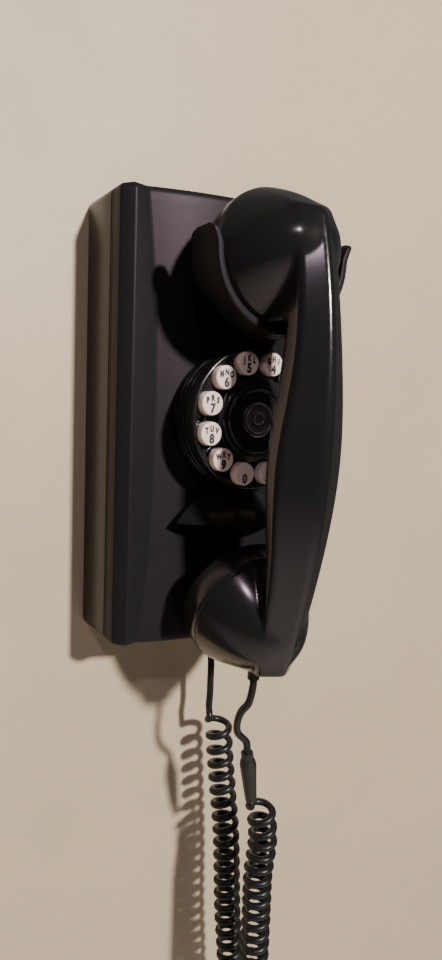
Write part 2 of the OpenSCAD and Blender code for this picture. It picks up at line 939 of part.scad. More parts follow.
// Curls wound by curl number c: the first and last run slowly out of a straight end
ramp = 1.2 / curls;
function wound(v) =
    (v < ramp ? v * v / (2 * ramp)
     : v > 1 - ramp ? 1 - ramp - (1 - v) * (1 - v) / (2 * ramp) : v - ramp / 2) / (1 - ramp);
function curl_dir(c) = route_dir(curl_route, place(c));
function curl_guide(c) =
    let (t = curl_dir(c), b = flat_dir(loop_side, t), a = cross(b, t),
         w = 360 * curls * wound(c / curls) - 90)
    cos(w) * a + sin(w) * b;
function curl_point(c) = on_route(curl_route, place(c)) + curl_r * curl_guide(c);
ring_at = [for (k = [0:curls * rings_each]) k / rings_each];
coil_start = curl_point(0) - cord_dia * curl_dir(0);
coil_end = curl_point(curls) + cord_dia * curl_dir(curls);
coil_points = concat([coil_start], [for (c = ring_at) curl_point(c)], [coil_end]);
coil_guides = concat([curl_guide(0)], [for (c = ring_at) curl_guide(c)], [curl_guide(curls)]);
// Least clear distance between one curl and the next ones
coil_gap = min([for (i = [0:len(coil_points) - 1])
    for (j = [i + 6:min(i + 26, len(coil_points) - 1)])
        norm(coil_points[i] - coil_points[j])]) - cord_dia;
echo(coil_gap = coil_gap, curls = curls);

module coil_cord() {
    color(BLACK)
        tube(coil_points, cord_dia / 2, wire_sides, coil_guides);
}

module body_lead() {
    top = [grommet_x, -grommet_d, -half_h - grommet_out];
    p = concat([top, top - [0, 0, cord_dia]], BODY_LEAD,
               [coil_start - cord_dia * curl_dir(0), coil_start]);
    color(BLACK)
        tube(p, cord_dia / 2, 8, [for (q = p) [1, 0, 0]]);
}

joiner_axis = curl_dir(curls);
joiner_top = coil_end + joiner_len * joiner_axis;
module cord_joiner() {
    lean = atan2(joiner_axis[0], joiner_axis[2]);
    color(RUBBER)
    translate(coil_end)
        rotate([0, lean, 0])
            rotate_extrude($fn = 32)
                polygon([[0, 0], [joiner_dia / 2 - 1.4, 0], [joiner_dia / 2 - 0.4, joiner_len * 0.55],
                         [joiner_dia / 2, joiner_len - 7], [joiner_dia / 2 - 0.5, joiner_len - 4.6],
                         [joiner_dia / 2 - 1.2, joiner_len - 4.2], [joiner_dia / 2 - 1.2, joiner_len],
                         [0, joiner_len]]);
}

module handset_lead() {
    top = [0, -lead_d, exit_z];
    p = concat([top, top - [0, 0, cord_dia]], HANDSET_LEAD,
               [joiner_top + 6 * joiner_axis, joiner_top]);
    color(BLACK)
        tube(p, cord_dia / 2, 8, [for (q = p) [1, 0, 0]]);
}

// ---------- what is drawn ----------
back_plate();
rear_housing();
front_cover();
cover_screws();
dial_ring();
dial_face();
dial_hub();
hub_badge();
keypad_board();
keypad_membrane();
for (k = [0:11])
    key_at(k);
cradle();
cradle_pin();
cradle_spring();
hook_switch();
main_board();
ringer();
line_jack();
body_grommet();
handset_body();
ear_cap();
mouth_cap();
receiver();
microphone();
handset_grommet();
body_lead();
coil_cord();
cord_joiner();
handset_lead();
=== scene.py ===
# A corded wall telephone: a moulded case with a push-button dial, a handset in a
# forked cradle and a curly cord that hangs in a loop. Metres, Z up, wall at y = 0.
import math

import bmesh
import bpy
import numpy as np
from mathutils import Matrix, Vector


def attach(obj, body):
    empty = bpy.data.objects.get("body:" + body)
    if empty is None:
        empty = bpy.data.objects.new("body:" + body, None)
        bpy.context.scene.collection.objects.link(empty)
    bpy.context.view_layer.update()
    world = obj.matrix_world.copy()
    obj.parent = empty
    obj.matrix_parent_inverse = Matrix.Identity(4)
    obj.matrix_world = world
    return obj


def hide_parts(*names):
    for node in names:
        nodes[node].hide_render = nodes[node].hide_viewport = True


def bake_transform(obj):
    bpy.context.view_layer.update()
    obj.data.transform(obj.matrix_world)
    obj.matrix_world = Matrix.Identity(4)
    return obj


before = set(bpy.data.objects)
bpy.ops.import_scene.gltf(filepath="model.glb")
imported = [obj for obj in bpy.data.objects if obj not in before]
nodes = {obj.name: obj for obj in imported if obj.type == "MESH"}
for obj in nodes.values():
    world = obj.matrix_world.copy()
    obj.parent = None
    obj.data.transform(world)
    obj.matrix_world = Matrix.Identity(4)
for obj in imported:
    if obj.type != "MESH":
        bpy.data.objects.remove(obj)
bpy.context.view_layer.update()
collection = bpy.context.scene.collection


# ---------------------------------------------------------------- the room
# A painted plaster wall and a pale floor below the cord. A strong lamp high in front,
# a weak one to the left and a weak one behind the wall light it, with a little soft light.
class Socket:
    """An output of a shader node, on which Python's operators add Math nodes."""

    def __init__(self, finish, output):
        self.finish, self.output = finish, output

    def math(self, operation, *values):
        return self.finish.node("ShaderNodeMath", {"operation": operation}, *values)

    def __add__(self, other):
        return self.math("ADD", self, other)

    def __sub__(self, other):
        return self.math("SUBTRACT", self, other)

    def __mul__(self, other):
        return self.math("MULTIPLY", self, other)

    def __abs__(self):
        return self.math("ABSOLUTE", self)

    def or_more(self, other):
        return self.math("MAXIMUM", self, other)

    def steps(self, low, high):
        """0 below low, 1 above high and a smooth rise between."""
        return self.finish.node("ShaderNodeMapRange", {"interpolation_type": "SMOOTHSTEP"}, self, low, high)


class Finish:
    """A node material. Its shader's plain values are keyword arguments."""

    def __init__(self, name, **values):
        self.material = bpy.data.materials.new(name)
        self.material.use_nodes = True
        self.nodes = self.material.node_tree.nodes
        self.links = self.material.node_tree.links
        self.shader = self.nodes["Principled BSDF"]
        self.feed(**values)

    def plug(self, value, socket):
        """Links a node's output to a socket, or gives the socket a plain value."""
        if isinstance(value, Socket):
            self.links.new(value.output, socket)
        else:
            socket.default_value = (*value, 1) if isinstance(value, tuple) else value

    def feed(self, **values):
        """Plugs values into the surface shader's sockets of the same names."""
        for key, value in values.items():
            self.plug(value, self.shader.inputs[key.replace("_", " ").title().replace("Ior", "IOR")])

    def node(self, kind, settings, *values, out=0):
        """A node with its settings, then its sockets' values or links. out picks its output."""
        node = self.nodes.new(kind)
        for key, value in settings.items():
            setattr(node, key, value)
        for socket, value in zip(node.inputs, values):
            if value is not None:
                self.plug(value, socket)
        return Socket(self, node.outputs[out])

    def place(self):
        return self.node("ShaderNodeTexCoord", {}, out="Object")

    def noise(self, scale, detail=3.0, rough=0.55):
        return self.node("ShaderNodeTexNoise", {}, self.place(), None, scale, detail, rough)

    def mix(self, factor, a, b):
        """A mix of two colours, whose sockets are the node's seventh and eighth."""
        node = self.nodes.new("ShaderNodeMix")
        node.data_type = "RGBA"
        for index, value in zip((0, 6, 7), (factor, a, b)):
            self.plug(value, node.inputs[index])
        return Socket(self, node.outputs[2])

    def bump(self, height, strength, distance, after=None):
        """A bumped normal; after is a coarser bump that this one is laid over."""
        node = self.nodes.new("ShaderNodeBump")
        self.plug(strength, node.inputs["Strength"])
        self.plug(distance, node.inputs["Distance"])
        self.plug(height, node.inputs["Height"])
        if after:
            self.plug(after, node.inputs["Normal"])
        return Socket(self, node.outputs[0])


def put_on(obj, finish):
    """The finish as the object's one material."""
    obj.data.materials.clear()
    obj.data.materials.append(finish.material)


def add(name, data):
    """A new object for the data, in the scene."""
    obj = bpy.data.objects.new(name, data)
    collection.objects.link(obj)
    return obj


def new_mesh(name, points, faces, smooth=True):
    """A mesh object from points in metres."""
    mesh = bpy.data.meshes.new(name)
    mesh.from_pydata([tuple(p) for p in points], [], faces)
    mesh.validate()
    if smooth:
        mesh.shade_smooth()
    return add(name, mesh)


wall_paint = Finish("wall_paint", base_color=(0.53, 0.43, 0.305), roughness=0.55)
stain = wall_paint.noise(9, 4.0).steps(0.35, 0.75)
wall_tone = wall_paint.mix(stain, (0.555, 0.448, 0.315), (0.51, 0.412, 0.292))
# Painted shade in reflections: glossy rays see the wall's own colour round the telephone, and past that
# stretch the wall is painted a dark colour, so the room looks dim there
lit_middle, painted_shade_tone = 0.01, (0.03, 0.028, 0.03)
across = wall_paint.node("ShaderNodeSeparateXYZ", {}, wall_paint.place(), out="X")
height = wall_paint.node("ShaderNodeSeparateXYZ", {}, wall_paint.place(), out="Z")
beside_case = abs(across - lit_middle).steps(0.12, 0.15)
painted_shade_mask = height.steps(0.12, 0.17).or_more(beside_case)
mirrored = wall_paint.node("ShaderNodeLightPath", {}, out="Is Glossy Ray")
wall_paint.feed(base_color=wall_paint.mix(painted_shade_mask * mirrored, wall_tone, painted_shade_tone),
                roughness=stain * 0.1 + 0.5,
                normal=wall_paint.bump(wall_paint.noise(220, 3.0), 0.12, 0.0006))
# From behind the wall is clear, and it lets the light of the lamp behind it through
seen_from_behind = wall_paint.node("ShaderNodeNewGeometry", {}, out="Backfacing")
shadow_ray = wall_paint.node("ShaderNodeLightPath", {}, out="Is Shadow Ray")
wall_surface = wall_paint.node(
    "ShaderNodeMixShader", {}, seen_from_behind.or_more(shadow_ray),
    Socket(wall_paint, wall_paint.shader.outputs[0]), wall_paint.node("ShaderNodeBsdfTransparent", {}))
wall_paint.links.new(wall_surface.output, wall_paint.nodes["Material Output"].inputs["Surface"])

wall_y, floor_z, reach = 0.0006, -1.05, 2.6
wall = new_mesh(
    "wall",
    [(-reach, wall_y, floor_z), (reach, wall_y, floor_z), (reach, wall_y, reach), (-reach, wall_y, reach)],
    [(0, 1, 2, 3)],
)
put_on(wall, wall_paint)
floor_paint = Finish("floor_paint", base_color=(0.62, 0.60, 0.57), roughness=0.7)
ground = new_mesh(
    "ground",
    [(-reach, -reach, floor_z), (reach, -reach, floor_z), (reach, reach, floor_z), (-reach, reach, floor_z)],
    [(0, 1, 2, 3)],
)
put_on(ground, floor_paint)

world = bpy.data.worlds.new("room")
bpy.context.scene.world = world
world.use_nodes = True
soft_light = world.node_tree.nodes["Background"]
soft_light.inputs["Color"].default_value = (1.0, 0.94, 0.92, 1)
soft_light.inputs["Strength"].default_value = 0.016


def lamp(name, place, target, size, power, colour=(1, 1, 1)):
    """A square area lamp: its side in metres and its power in watts."""
    data = bpy.data.lights.new(name, "AREA")
    data.shape, data.size, data.size_y = "RECTANGLE", size, size
    data.energy, data.color = power, colour
    obj = add(name, data)
    obj.location = place
    obj.rotation_euler = (Vector(target) - Vector(place)).to_track_quat("-Z", "Y").to_euler()


def from_wall(turn, rise, distance):
    """A place in front of the wall: degrees right of and above its normal, and metres."""
    a, e = math.radians(turn), math.radians(rise)
    return distance * Vector((math.sin(a) * math.cos(e), -math.cos(a) * math.cos(e), math.sin(e)))


lamp("room_lamp", from_wall(8, 24, 1.9), (0, 0, 0), size=0.12, power=62, colour=(1.0, 0.95, 0.88))
lamp("side_lamp", from_wall(-31, 35, 1.9), (0, 0, 0), size=0.06, power=4.5, colour=(1.0, 0.84, 0.95))
lamp("behind", (0.15, 0.55, 0.35), (0, 0, -0.05), size=0.3, power=1.6)

# The camera stands to the left of the telephone and looks a little down at it.
eye = Vector((-0.19496, -0.35103, 0.01134))
turn, tilt, roll = (math.radians(angle) for angle in (27.15, -6.62, 1.61))
ahead = Vector((math.sin(turn) * math.cos(tilt), math.cos(turn) * math.cos(tilt), math.sin(tilt)))
level = Vector((math.cos(turn), -math.sin(turn), 0))
over = level.cross(ahead)
right = math.cos(roll) * level + math.sin(roll) * over
up = math.cos(roll) * over - math.sin(roll) * level
camera_data = bpy.data.cameras.new("camera")
camera_data.sensor_fit, camera_data.sensor_width, camera_data.lens = "AUTO", 36, 25.607
camera_data.shift_x = 0.0619
camera_data.clip_start = 0.02
camera = add("camera", camera_data)
camera.matrix_world = Matrix((*zip(right, up, -ahead, eye), (0, 0, 0, 1)))
bpy.context.scene.camera = camera


# --------------------------------------------------------------- the cords
# Four-core telephone cord in a smooth black vinyl jacket, 4 mm thick. The middle
# stretch is heat-set into curls; plain leads run to the case and the handset.
mm = 0.001
cord_d, curl_d = 4 * mm, 16.5 * mm
# The centre of the curls: down from the case, round the low bend and up again, in mm
down_arm = [(14, -25, -172), (16, -26, -197), (18, -28, -222), (20, -30, -247),
            (21, -31, -272), (22, -32, -297), (24, -33, -322), (25, -33, -347)]
up_arm = [(18, -67, -351), (18, -66, -330), (18, -66, -309), (18, -66, -288),
          (18, -66, -267), (18, -66, -247), (20, -66, -226), (17, -66, -204)]
# The low bend's middle and radius, its curls, and the curls between two of an arm's points
low_bend, bend_r, bend_parts, arm_curls = Vector((22, -50, -372)), 17, 6, 3
bend_side = Vector((0.15, 1, 0)).normalized()
loop_side = Vector((1, 0.15, 0)).normalized()
curl_route = [Vector(p) for p in down_arm]
for part in range(bend_parts + 1):
    swing = math.pi * part / bend_parts
    curl_route.append(low_bend + bend_r * (math.cos(swing) * bend_side - Vector((0, 0, math.sin(swing)))))
curl_route += [Vector(p) for p in up_arm]
curls_down = len(down_arm) * arm_curls
curls = curls_down + bend_parts + len(up_arm) * arm_curls
ramp = 1.2 / curls  # the share of the coil over which its winding starts and ends softly


def on_route(points, u):
    """A Catmull-Rom curve through given points, by point number."""
    last = len(points) - 1
    i = min(int(u), last - 1)
    t = u - i
    a, b, c, d = points[max(i - 1, 0)], points[i], points[i + 1], points[min(i + 2, last)]
    return 0.5 * (
        2 * b + (c - a) * t + (2 * a - 5 * b + 4 * c - d) * t * t + (3 * b - a - 3 * c + d) * t ** 3
    )


def place_of(curl):
    """The curl's place along the route, by point number."""
    if curl < curls_down:
        return curl / arm_curls
    if curl < curls_down + bend_parts:
        return curl - curls_down + len(down_arm)
    return (curl - curls_down - bend_parts) / arm_curls + len(down_arm) + bend_parts


def route_way(curl):
    u, last = place_of(curl), len(curl_route) - 1
    return (on_route(curl_route, min(u + 0.02, last)) - on_route(curl_route, max(u - 0.02, 0))).normalized()


def wound(v):
    """The share of the turns that is wound at the share v of the coil."""
    if v < ramp:
        turns = v * v / (2 * ramp)
    elif v > 1 - ramp:
        turns = 1 - ramp - (1 - v) ** 2 / (2 * ramp)
    else:
        turns = v - ramp / 2
    return turns / (1 - ramp)


def curl_point(curl):
    """The middle of the cord on the curls, in metres."""
    way = route_way(curl)
    side = (loop_side - way * loop_side.dot(way)).normalized()
    angle = 2 * math.pi * curls * wound(curl / curls) - math.pi / 2
    reach_out = math.cos(angle) * side.cross(way) + math.sin(angle) * side
    return on_route(curl_route, place_of(curl)) * mm + (curl_d - cord_d) / 2 * reach_out


curl_parts = 20
coil_path = [curl_point(k / curl_parts) for k in range(curls * curl_parts + 1)]
coil_path.insert(0, coil_path[0] - cord_d * route_way(0))
coil_path.append(coil_path[-1] + cord_d * route_way(curls))


def tube(name, path):
    """A cord that follows a path: one open smooth curve with a round section."""
    curve = bpy.data.curves.new(name, "CURVE")
    curve.dimensions, curve.bevel_depth, curve.bevel_resolution = "3D", cord_d / 2, 2
    curve.use_fill_caps = True
    spline = curve.splines.new("POLY")
    spline.points.add(len(path) - 1)
    for point, place in zip(spline.points, path):
        point.co = (*place, 1)
    spline.use_smooth = True
    return add(name, curve)


def smooth_path(points, parts=8):
    """Points along the curve through given points, a few to each stretch."""
    return [on_route(points, k / parts) for k in range(parts * (len(points) - 1))] + [points[-1]]


def path_length(path):
    return sum((b - a).length for a, b in zip(path, path[1:]))


jacket = Finish("cord_jacket", base_color=(0.012, 0.012, 0.013), roughness=0.33, specular_ior_level=0.3)
jacket.feed(roughness=jacket.noise(60, 3) * 0.16 + 0.26,
            normal=jacket.bump(jacket.noise(900, 2), 0.12, 0.0002))


def bake(obj, name):
    """The object with its modifiers as a plain mesh."""
    evaluated = obj.evaluated_get(bpy.context.evaluated_depsgraph_get())
    mesh = bpy.data.meshes.new_from_object(evaluated)
    bpy.data.objects.remove(obj, do_unlink=True)
    return add(name, mesh)


coil = bake(tube("curls", coil_path), "coil")
sealed = bmesh.new()
sealed.from_mesh(coil.data)
bmesh.ops.remove_doubles(sealed, verts=sealed.verts, dist=1e-6)
sealed.to_mesh(coil.data)
sealed.free()
put_on(coil, jacket)
body_exit = Vector((8, -24, -116)) * mm
body_route = [body_exit] + [
    Vector(p) * mm for p in [(8, -24, -120), (8, -24, -130), (8, -25, -140), (8, -25, -150), (8, -25, -158)]
]
body_route += [coil_path[0] - cord_d * route_way(0), coil_path[0]]
# The joiner is 28 mm long and carries on the way in which the curls end
joiner_way = route_way(curls)
joiner_top = coil_path[-1] + 28 * mm * joiner_way
handset_exit = Vector((0, -78.6, -126.9)) * mm
handset_route = [handset_exit] + [
    Vector(p) * mm
    for p in [(0, -78.6, -130.9), (-1, -77, -140), (-2, -72, -147), (-2, -69, -154), (0, -67, -161)]
]
handset_route += [joiner_top + 6 * mm * joiner_way, joiner_top]
body_path, handset_path = smooth_path(body_route), smooth_path(handset_route)
body_tube, handset_tube = tube("body_lead_cord", body_path), tube("handset_lead_cord", handset_path)
for lead in (body_tube, handset_tube):
    put_on(lead, jacket)
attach(body_tube, "case")
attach(handset_tube, "handset")
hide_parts("coil_cord")
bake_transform(coil)
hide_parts("body_lead")
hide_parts("handset_lead")
path_length(body_path)
path_length(coil_path)
path_length(handset_path)


# --------------------------------------------------------- the front cover
# Injection-moulded ABS, satin black, 2.5 mm thick: two raised pillars with a bowed
# panel between them. Four screws from the back pull it against the rear housing.
def fillet(corners, steps=5):
    """A polyline whose inner corners (x, y, radius) are rounded."""
    line = [Vector(corners[0][:2])]
    for before, here, after in zip(corners, corners[1:], corners[2:]):
        radius = here[2] if len(here) > 2 else 0
        p = Vector(here[:2])
        if not radius:
            line.append(p)
            continue
        a, b = (p - Vector(before[:2])).normalized(), (Vector(after[:2]) - p).normalized()
        turn_angle = a.angle_signed(b)
        run = radius * math.tan(abs(turn_angle) / 2)
        start = p - a * run
        side = Vector((a.y, -a.x)) * (1 if turn_angle > 0 else -1)
        centre = start + side * radius
        for k in range(steps + 1):
            swing = -turn_angle * k / steps
            arm = start - centre
            line.append(centre + Vector((
                arm.x * math.cos(swing) - arm.y * math.sin(swing),
                arm.x * math.sin(swing) + arm.y * math.cos(swing),
            )))
    line.append(Vector(corners[-1][:2]))
    return line


# In mm: half the case's width and height, and depths from the wall. The panel bows to
# its crown; a pillar's outer wall ends at the crease and slopes in to the crest.
case_w, case_h, wall_t, seam_y = 62.5, 114.0, 2.5, 31.4
crown_y, panel_bow, crest_x, crest_y, crease_y = 50.0, 5.6, 56.4, 47.0, 42.3
corner_x, corner_z = 3.2, 4.2  # the rounding of the case's four corners
# The foot of the pillars, where the panel meets them: heights and half widths
foot_line = [(-114, 49.0), (-105, 48.2), (-87, 46.2), (-70, 44.3), (-42, 43.0), (-15, 42.4), (15, 42.0),
             (51, 42.6), (82, 45.0), (110, 48.0), (114, 48.4)]
# The slot for the cradle's lever: half its width, its ends' heights, and its points each
# side of the middle
slot_w, slot_low, slot_high, slot_parts = 9.5, 41.2, 52.2, 4


def foot_at(z):
    zs, xs = zip(*foot_line)
    return float(np.interp(z, zs, xs))


def panel_y(x, foot):
    return crown_y - panel_bow * (x / foot) ** 2


def cover_side(z):
    """Half of the cover's level section, from the seam to the middle: x and depth."""
    foot = foot_at(z)
    foot_y = panel_y(foot, foot)
    inner = foot - 5
    half = fillet([
        (case_w - wall_t, seam_y + 0.2), (case_w - 0.35, seam_y + 0.05, 0.1), (case_w, seam_y + 0.5, 0.3),
        (case_w, seam_y + 2.0, 0.1), (case_w - 0.3, seam_y + 2.3, 0.1), (case_w, seam_y + 2.6, 0.1),
        (case_w, crease_y, 1.7), (crest_x, crest_y, 1.9), (foot + 0.7, foot_y + 0.1, 1.2),
        (foot - 0.4, foot_y, 0.3), (inner, panel_y(inner, foot)),
    ], 4)
    half += [Vector((x, panel_y(x, foot))) for x in np.linspace(inner, slot_w, 9)[1:]]
    return half + [Vector((x, panel_y(x, foot))) for x in np.linspace(slot_w, 0, slot_parts + 1)[1:]]


def set_in(p, inset):
    """A point of the section moved in by an end's rounding: 0 on the flat, 1 at the end."""
    across = min(1, max(0, (p.x - crest_x) / (case_w - crest_x)))
    deep = min(1, max(0, (p.y - seam_y - 2.6) / (crease_y - seam_y - 2.6)))
    return p.x - corner_x * inset * across, p.y - corner_z * inset * deep


round_parts = 8
levels = []
for k in range(round_parts):
    swing = math.pi / 2 * (1 - k / round_parts)
    levels.append((-case_h + corner_z * (1 - math.sin(swing)), 1 - math.cos(swing)))
inner_z = case_h - corner_z
steps_z = sorted(set(np.linspace(-inner_z, inner_z, 61)) | {slot_low, slot_high})
levels += [(z, 0.0) for z in steps_z]
levels += [(-z, inset) for z, inset in reversed(levels[:round_parts])]
cover_points, cover_faces = [], []
for z, inset in levels:
    half = [set_in(p, inset) for p in cover_side(z)]
    row = half + [(-x, d) for x, d in reversed(half[:-1])]
    width = len(row)
    cover_points += [(x * mm, -d * mm, z * mm) for x, d in row]
slot_left, slot_right = width // 2 - slot_parts, width // 2 + slot_parts
for j in range(len(levels) - 1):
    in_slot = slot_low - 0.01 <= levels[j][0] < slot_high - 0.01
    for i in range(width - 1):
        if in_slot and slot_left <= i < slot_right:
            continue
        a = j * width + i
        cover_faces.append((a, a + 1, a + width + 1, a + width))
cover_faces.append(tuple(range(width - 1, -1, -1)))
last_row = (len(levels) - 1) * width
cover_faces.append(tuple(range(last_row, last_row + width)))
# The slot's walls run inwards through the cover's thickness
slot_rows = [j for j, level in enumerate(levels) if slot_low - 0.01 <= level[0] <= slot_high + 0.01]
rim = [slot_rows[0] * width + i for i in range(slot_left, slot_right + 1)]
rim += [j * width + slot_right for j in slot_rows[1:]]
rim += [slot_rows[-1] * width + i for i in range(slot_right - 1, slot_left - 1, -1)]
rim += [j * width + slot_left for j in reversed(slot_rows[1:-1])]
inside = len(cover_points)
cover_points += [(cover_points[a][0], cover_points[a][1] + wall_t * mm, cover_points[a][2]) for a in rim]
for k in range(len(rim)):
    n = (k + 1) % len(rim)
    cover_faces.append((rim[k], inside + k, inside + n, rim[n]))


def shade(obj, degrees):
    """Smooth shading, with the edges sharp at which the surface turns by more."""
    obj.data.shade_smooth()
    obj.data.set_sharp_from_angle(angle=math.radians(degrees))


cover = new_mesh("cover_shell", cover_points, cover_faces)
shade(cover, 38)

moulded = Finish("satin_black_abs", base_color=(0.0105, 0.0100, 0.0118), roughness=0.46,
                 specular_ior_level=0.17, specular_tint=(1.0, 0.76, 0.93))
speckle = moulded.noise(2600, 2.0, 0.5).steps(0.70, 0.78)
smear = moulded.noise(14, 4.0, 0.6)
moulded.feed(
    base_color=moulded.mix(speckle * 0.55, (0.0105, 0.0100, 0.0118), (0.055, 0.052, 0.05)),
    roughness=smear * 0.10 + moulded.noise(320, 3.0) * 0.05 + 0.39 + speckle * 0.2,
    normal=moulded.bump(moulded.noise(950, 2.0), 0.10, 0.00008,
                        moulded.bump(moulded.noise(60, 1.5), 0.10, 0.0005)),
)
put_on(cover, moulded)
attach(cover, "case")
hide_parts("front_cover")


# -------------------------------------------------------- the rear housing
# The moulded rear shell, 31 mm deep, in the same black ABS. Its rim meets the front
# cover at a fine seam, and the line socket looks out of its lower wall.
def rounded_loop(inset, parts=8):
    """Points round the case's front view, set in from its outline by inset mm."""
    w, h = case_w - inset, case_h - inset
    rx, rz = max(corner_x - inset, 0.6), max(corner_z - inset, 0.6)
    loop = []
    for quarter, (sx, sz) in enumerate(((1, 1), (-1, 1), (-1, -1), (1, -1))):
        for k in range(parts + 1):
            swing = math.pi / 2 * (quarter + k / parts)
            loop.append((sx * (w - rx) + rx * math.cos(swing), sz * (h - rz) + rz * math.sin(swing)))
    return loop


def ring_of_loops(name, layers):
    """A closed ring skinned through loops, each (inset, depth) in mm."""
    points, faces = [], []
    for inset, depth in layers:
        points += [(x * mm, -depth * mm, z * mm) for x, z in rounded_loop(inset)]
    n, count = len(points) // len(layers), len(layers)
    for j in range(count):
        for i in range(n):
            a, b = j * n, (j + 1) % count * n
            faces.append((a + i, a + (i + 1) % n, b + (i + 1) % n, b + i))
    obj = new_mesh(name, points, faces)
    face_outwards(obj)
    return obj


def face_outwards(obj):
    mesh_edit = bmesh.new()
    mesh_edit.from_mesh(obj.data)
    bmesh.ops.recalc_face_normals(mesh_edit, faces=mesh_edit.faces)
    mesh_edit.to_mesh(obj.data)
    mesh_edit.free()


def cut_from(obj, name, cutter):
    """The object less the cutter, as a plain mesh."""
    step = obj.modifiers.new("cut", "BOOLEAN")
    step.operation, step.solver, step.object = "DIFFERENCE", "EXACT", cutter
    made = bake(obj, name)
    bpy.data.objects.remove(cutter, do_unlink=True)
    return made


def block(name, low, high):
    """A box between two corners in mm."""
    corners = [(x, y, z) for z in (low[2], high[2]) for y in (low[1], high[1]) for x in (low[0], high[0])]
    faces = [(0, 2, 3, 1), (4, 5, 7, 6), (0, 1, 5, 4), (2, 6, 7, 3), (0, 4, 6, 2), (1, 3, 7, 5)]
    return new_mesh(name, [tuple(c * mm for c in corner) for corner in corners], faces, smooth=False)


shell = ring_of_loops("shell", [
    (wall_t, 3.0), (wall_t, 0.0), (0.6, 0.0), (0.2, 0.12), (0.0, 0.5), (0.0, 30.4),
    (0.08, 30.75), (0.35, 31.0), (wall_t, 31.0),
])
# The hole for the line socket: its middle and half its sizes
jack_x, jack_y, jack_w, jack_h = -34, -12.5, 7.6, 5.2
shell = cut_from(shell, "rear_shell", block(
    "jack_hole", (jack_x - jack_w, jack_y - jack_h, -120), (jack_x + jack_w, jack_y + jack_h, -110)))
shade(shell, 38)
rear_black = Finish("rear_black_abs", base_color=(0.0125, 0.0120, 0.0120), roughness=0.36,
                    specular_ior_level=0.42)
scuff = rear_black.noise(24, 4.0, 0.6)
rear_black.feed(roughness=scuff * 0.12 + 0.30,
                normal=rear_black.bump(rear_black.noise(900, 2.0), 0.10, 0.00008))
put_on(shell, rear_black)
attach(shell, "case")
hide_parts("rear_housing")


# ---------------------------------------------------------------- the dial
# A collar on the panel carries a drum with a flat face, all turned-looking mouldings
# in black ABS. Twelve keys stand in the face round a stepped hub with a metal badge.
def place_on(origin, normal):
    """Turns local z to a normal in the plane x = 0, with local x kept."""
    normal = Vector(normal).normalized()
    side = normal.cross(Vector((1, 0, 0)))
    return Matrix((
        (1, side.x, normal.x, origin[0]), (0, side.y, normal.y, origin[1]),
        (0, side.z, normal.z, origin[2]), (0, 0, 0, 1),
    ))


def turned(name, line, where, parts=96):
    """A profile of radius and height in mm, turned round its axis."""
    points, faces, rows = [], [], []
    for r, t in line:
        if r < 1e-6:
            rows.append([len(points)] * parts)
            points.append((0, 0, t * mm))
        else:
            rows.append(list(range(len(points), len(points) + parts)))
            points += [(r * mm * math.cos(2 * math.pi * k / parts),
                        r * mm * math.sin(2 * math.pi * k / parts), t * mm) for k in range(parts)]
    for low, high in zip(rows, rows[1:]):
        for k in range(parts):
            n = (k + 1) % parts
            corners = [low[k], low[n], high[n], high[k]]
            face = tuple(dict.fromkeys(corners))
            if len(face) > 2:
                faces.append(face)
    obj = new_mesh(name, [where @ Vector(p) for p in points], faces)
    shade(obj, 40)
    return obj


on_dial = place_on(Vector((0, 0, 3.6)) * mm, (0, -1, 0))
collar = turned("dial_collar", fillet([
    (31, 44), (34.4, 44), (34.4, 52.3, 0.2), (33.7, 52.6, 0.1), (33.7, 53.2, 0.1), (34.8, 53.5, 0.3),
    (34.8, 56.4, 0.3), (33.8, 56.7, 0.1), (33.8, 57.0), (31, 57.0),
], 3), on_dial)
drum = turned("dial_drum", fillet([
    (31, 57.1), (33.9, 57.1), (33.9, 57.4, 0.1), (34.8, 57.7, 0.3), (34.8, 60.5, 0.3), (34.0, 60.8, 0.1),
    (34.0, 61.4, 0.1), (35.0, 61.8, 0.4), (35.1, 69.95, 0.7), (33.9, 70.0, 0.4), (33.2, 69.45, 0.3),
    (32.2, 69.45),
], 3), on_dial)


def flat_plate(name, outlines, thick, soft_edge, where):
    """A plate with round holes and softened edges; outlines are (x, y, radius) in mm."""
    curve = bpy.data.curves.new(name, "CURVE")
    curve.dimensions, curve.fill_mode = "2D", "BOTH"
    curve.extrude, curve.bevel_depth, curve.bevel_resolution = (thick / 2 - soft_edge) * mm, soft_edge * mm, 2
    curve.offset = -soft_edge * mm
    sides = 48
    for x, y, radius in outlines:
        spline = curve.splines.new("POLY")
        spline.points.add(sides - 1)
        spline.use_cyclic_u = True
        for k, point in enumerate(spline.points):
            swing = 2 * math.pi * k / sides
            point.co = ((x + radius * math.cos(swing)) * mm, (y + radius * math.sin(swing)) * mm, 0, 1)
    made = bake(add(name, curve), name)
    made.data.transform(where)
    shade(made, 50)
    return made


# The keys stand 30 degrees apart, each in its own hole of the plate
key_ring, key_hole_r, plate_r = 27.75, 6.1, 33.4
key_names = ["2", "3", "4", "5", "6", "7", "8", "9", "0", "hash", "star", "1"]
key_angles = [math.radians(15 + 30 * k) for k in range(len(key_names))]
key_places = [(key_ring * math.cos(angle), key_ring * math.sin(angle)) for angle in key_angles]
plate = flat_plate("dial_plate", [(0, 0, plate_r)] + [(x, y, key_hole_r) for x, y in key_places],
                   thick=3, soft_edge=0.3, where=on_dial @ Matrix.Translation((0, 0, 67.95 * mm)))
hub = turned("dial_stepped_hub", fillet([
    (21.4, 69.3), (21.4, 71.0, 0.5), (19.3, 71.3, 0.3), (18.9, 72.4, 0.5), (17.0, 72.5, 0.3),
    (16.5, 73.6, 0.5), (14.4, 73.7, 0.5), (13.8, 72.5, 0.4), (9.3, 72.4, 0.2), (9.1, 71.9), (0, 71.9),
], 3), on_dial)
